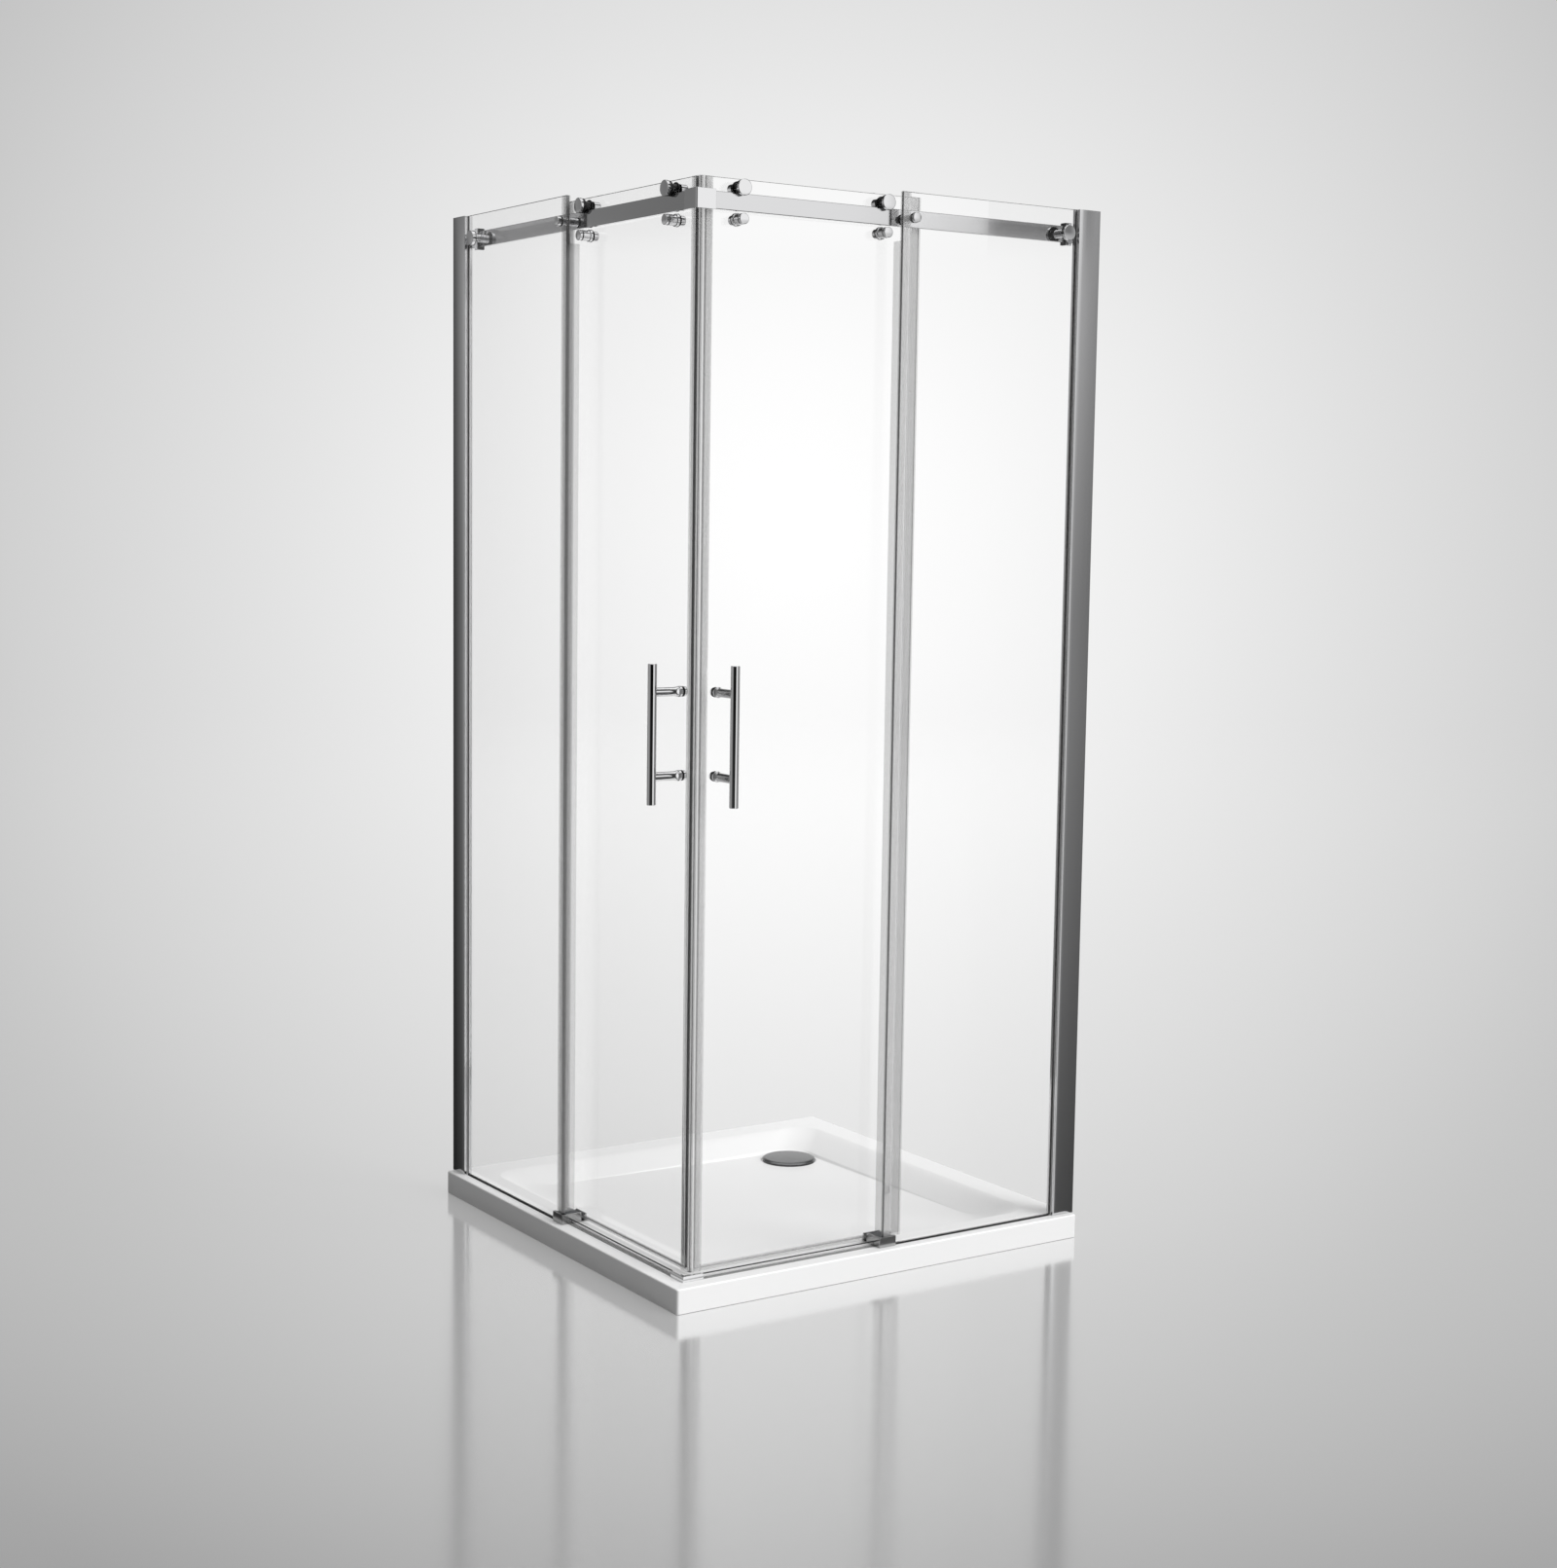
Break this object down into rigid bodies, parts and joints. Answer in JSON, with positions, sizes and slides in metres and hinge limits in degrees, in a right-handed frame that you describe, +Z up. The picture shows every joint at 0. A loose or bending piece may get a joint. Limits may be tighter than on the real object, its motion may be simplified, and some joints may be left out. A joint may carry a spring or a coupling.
{
  "type": "corner-entry shower screen",
  "caption": "Square corner-entry shower screen on a low tray: fixed glass panes at the walls and sliding glass doors on top rollers that meet at the front corner.",
  "frame": {"origin": "on the floor, under the middle of the whole screen seen from above", "axes": "+Z up; the right-hand run faces -Y and the left-hand run faces -X; the walls stand at +X and +Y"},
  "size_m": [0.911, 0.911, 1.945],
  "materials": {
    "tray_resin": "gel-coated cast resin, satin white",
    "chrome": "mirror chrome plating",
    "polished_rail": "stainless bar, mirror polished",
    "bright_profile": "bright-dipped, chrome-effect extrusion",
    "mill_channel": "mill finish extrusion",
    "clear_glass": "clear toughened, polished edges",
    "clear_seal": "clear soft extrusion",
    "black_rubber": "black moulded rubber",
    "magnet": "black magnetic rubber strip",
    "black_plastic": "turned black acetal",
    "dark_plastic": "moulded dark grey nylon",
    "strainer_plastic": "moulded grey plastic"
  },
  "bodies": {
    "enclosure": {"shower_tray": "tray_resin", "drain_flange": "chrome", "rail_corner_block": "chrome", "water_bar_corner": "chrome", "rail_stops": "chrome", "standoff_caps": "chrome", "standoff_sleeves": "chrome", "right_guide_clip": "chrome", "left_guide_clip": "chrome", "right_water_bar": "chrome", "left_water_bar": "chrome", "right_rail": "polished_rail", "left_rail": "polished_rail", "right_wall_profile": "bright_profile", "left_wall_profile": "bright_profile", "right_wall_channel": "mill_channel", "left_wall_channel": "mill_channel", "right_fixed_glass": "clear_glass", "left_fixed_glass": "clear_glass", "right_edge_seal": "clear_seal", "left_edge_seal": "clear_seal", "right_glazing_gasket": "clear_seal", "left_glazing_gasket": "clear_seal", "right_sill_seal": "black_rubber", "left_sill_seal": "black_rubber", "stop_pads": "black_rubber", "bedding_gaskets": "black_rubber", "guide_inserts": "dark_plastic", "profile_plugs": "dark_plastic"},
    "right_door": {"right_door_glass": "clear_glass", "right_magnet_seal": "clear_seal", "right_magnet_strip": "magnet", "right_rear_seal": "clear_seal", "right_bottom_seal": "clear_seal", "right_handle_bar": "chrome", "right_handle_posts": "chrome", "right_inner_caps": "chrome", "right_roller_axles": "chrome", "right_roller_caps": "chrome", "right_jump_studs": "chrome"},
    "right_front_wheel": {"right_front_wheel": "black_plastic"},
    "right_rear_wheel": {"right_rear_wheel": "black_plastic"},
    "left_door": {"left_door_glass": "clear_glass", "left_magnet_seal": "clear_seal", "left_magnet_strip": "magnet", "left_rear_seal": "clear_seal", "left_bottom_seal": "clear_seal", "left_handle_bar": "chrome", "left_handle_posts": "chrome", "left_inner_caps": "chrome", "left_roller_axles": "chrome", "left_roller_caps": "chrome", "left_jump_studs": "chrome"},
    "left_front_wheel": {"left_front_wheel": "black_plastic"},
    "left_rear_wheel": {"left_rear_wheel": "black_plastic"},
    "drain_cover": {"drain_cover": "chrome", "hair_strainer": "strainer_plastic"}
  },
  "joints": [
    {"name": "right_door_slide", "type": "slide", "parent": "enclosure", "child": "right_door", "axis": [1, 0, 0], "range_m": [0, 0.335]},
    {"name": "left_door_slide", "type": "slide", "parent": "enclosure", "child": "left_door", "axis": [0, 1, 0], "range_m": [0, 0.335]},
    {"name": "right_front_wheel_spin", "type": "hinge", "parent": "right_door", "child": "right_front_wheel", "pos_m": [-0.3175, -0.402, 1.9252], "axis": [0, 1, 0], "continuous": true},
    {"name": "right_rear_wheel_spin", "type": "hinge", "parent": "right_door", "child": "right_rear_wheel", "pos_m": [-0.0165, -0.402, 1.9252], "axis": [0, 1, 0], "continuous": true},
    {"name": "left_front_wheel_spin", "type": "hinge", "parent": "left_door", "child": "left_front_wheel", "pos_m": [-0.402, -0.3175, 1.9252], "axis": [1, 0, 0], "continuous": true},
    {"name": "left_rear_wheel_spin", "type": "hinge", "parent": "left_door", "child": "left_rear_wheel", "pos_m": [-0.402, -0.0165, 1.9252], "axis": [1, 0, 0], "continuous": true},
    {"name": "drain_cover_lift", "type": "slide", "parent": "enclosure", "child": "drain_cover", "axis": [0, 0, 1], "range_m": [0, 0.06]}
  ],
  "couplings": [
    {"joint": "right_front_wheel_spin", "follows": "right_door_slide", "rad_per_m": 112.36},
    {"joint": "right_rear_wheel_spin", "follows": "right_door_slide", "rad_per_m": 112.36},
    {"joint": "left_front_wheel_spin", "follows": "left_door_slide", "rad_per_m": -112.36},
    {"joint": "left_rear_wheel_spin", "follows": "left_door_slide", "rad_per_m": -112.36}
  ]
}
